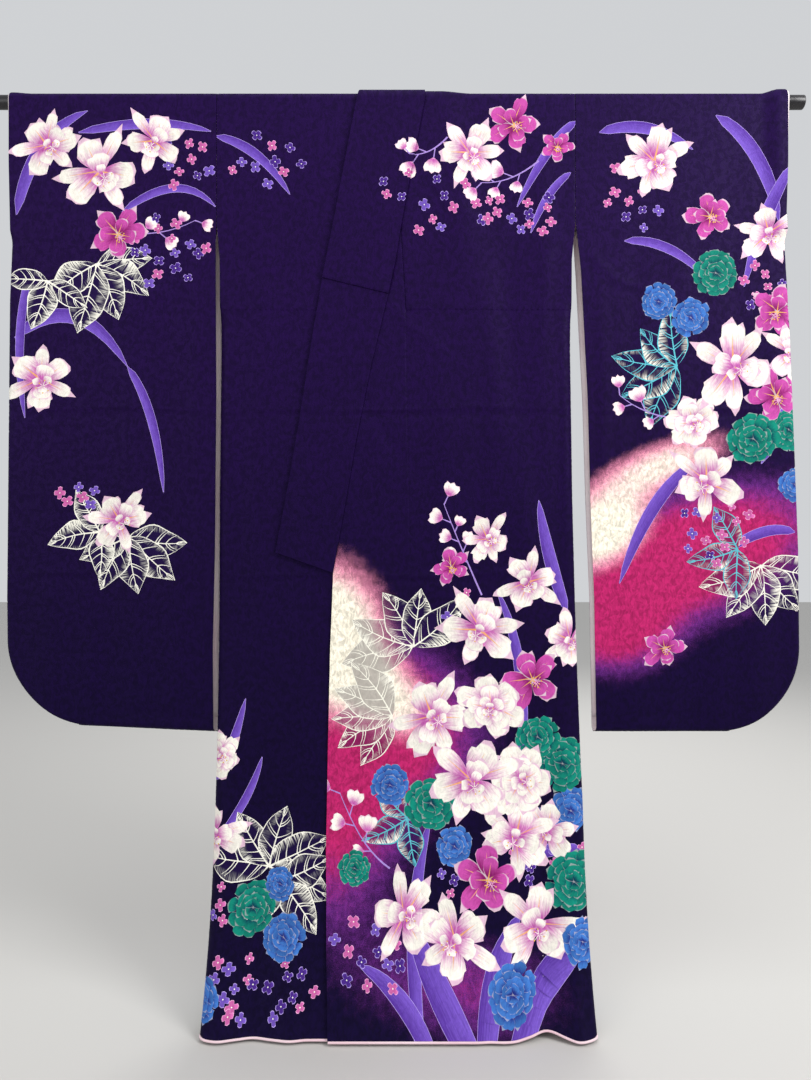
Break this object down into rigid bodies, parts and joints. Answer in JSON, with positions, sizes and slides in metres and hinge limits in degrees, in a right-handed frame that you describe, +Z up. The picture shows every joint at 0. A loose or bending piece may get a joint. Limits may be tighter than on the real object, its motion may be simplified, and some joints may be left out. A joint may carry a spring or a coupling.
{
  "type": "furisode on a hanging rod",
  "caption": "Furisode with long sleeves hung flat on a plain round rod, front side out, indigo silk with a floral design and a pale pink lining.",
  "frame": {"origin": "centre of the hanging rod at the garment's middle line", "axes": "+X along the rod towards the wearer's left sleeve, the garment's front faces -Y, +Z up"},
  "size_m": [1.44, 0.1781, 1.5903],
  "materials": {
    "printed_silk": "dark indigo crepe silk with a woven pattern and a printed floral design, soft low sheen",
    "pink_lining": "plain pink silk lining, soft sheen",
    "pale_lining": "plain off-white silk lining, soft sheen",
    "hem_piping": "rolled pale pink silk edge",
    "rod": "black, satin"
  },
  "bodies": {
    "root": {"right_body": "printed_silk", "left_body": "printed_silk", "right_overlap": "printed_silk", "left_overlap": "printed_silk", "collar": "printed_silk", "over_collar": "printed_silk", "right_sleeve": "printed_silk", "left_sleeve": "printed_silk", "right_hem_piping": "hem_piping", "right_hem_lining": "pink_lining", "right_sleeve_lining_front": "pale_lining", "right_sleeve_lining_back": "pale_lining", "right_cuff_lining": "pale_lining", "left_hem_piping": "hem_piping", "left_hem_lining": "pink_lining", "left_sleeve_lining_front": "pale_lining", "left_sleeve_lining_back": "pale_lining", "left_cuff_lining": "pale_lining", "hanging_rod": "rod"}
  },
  "joints": []
}
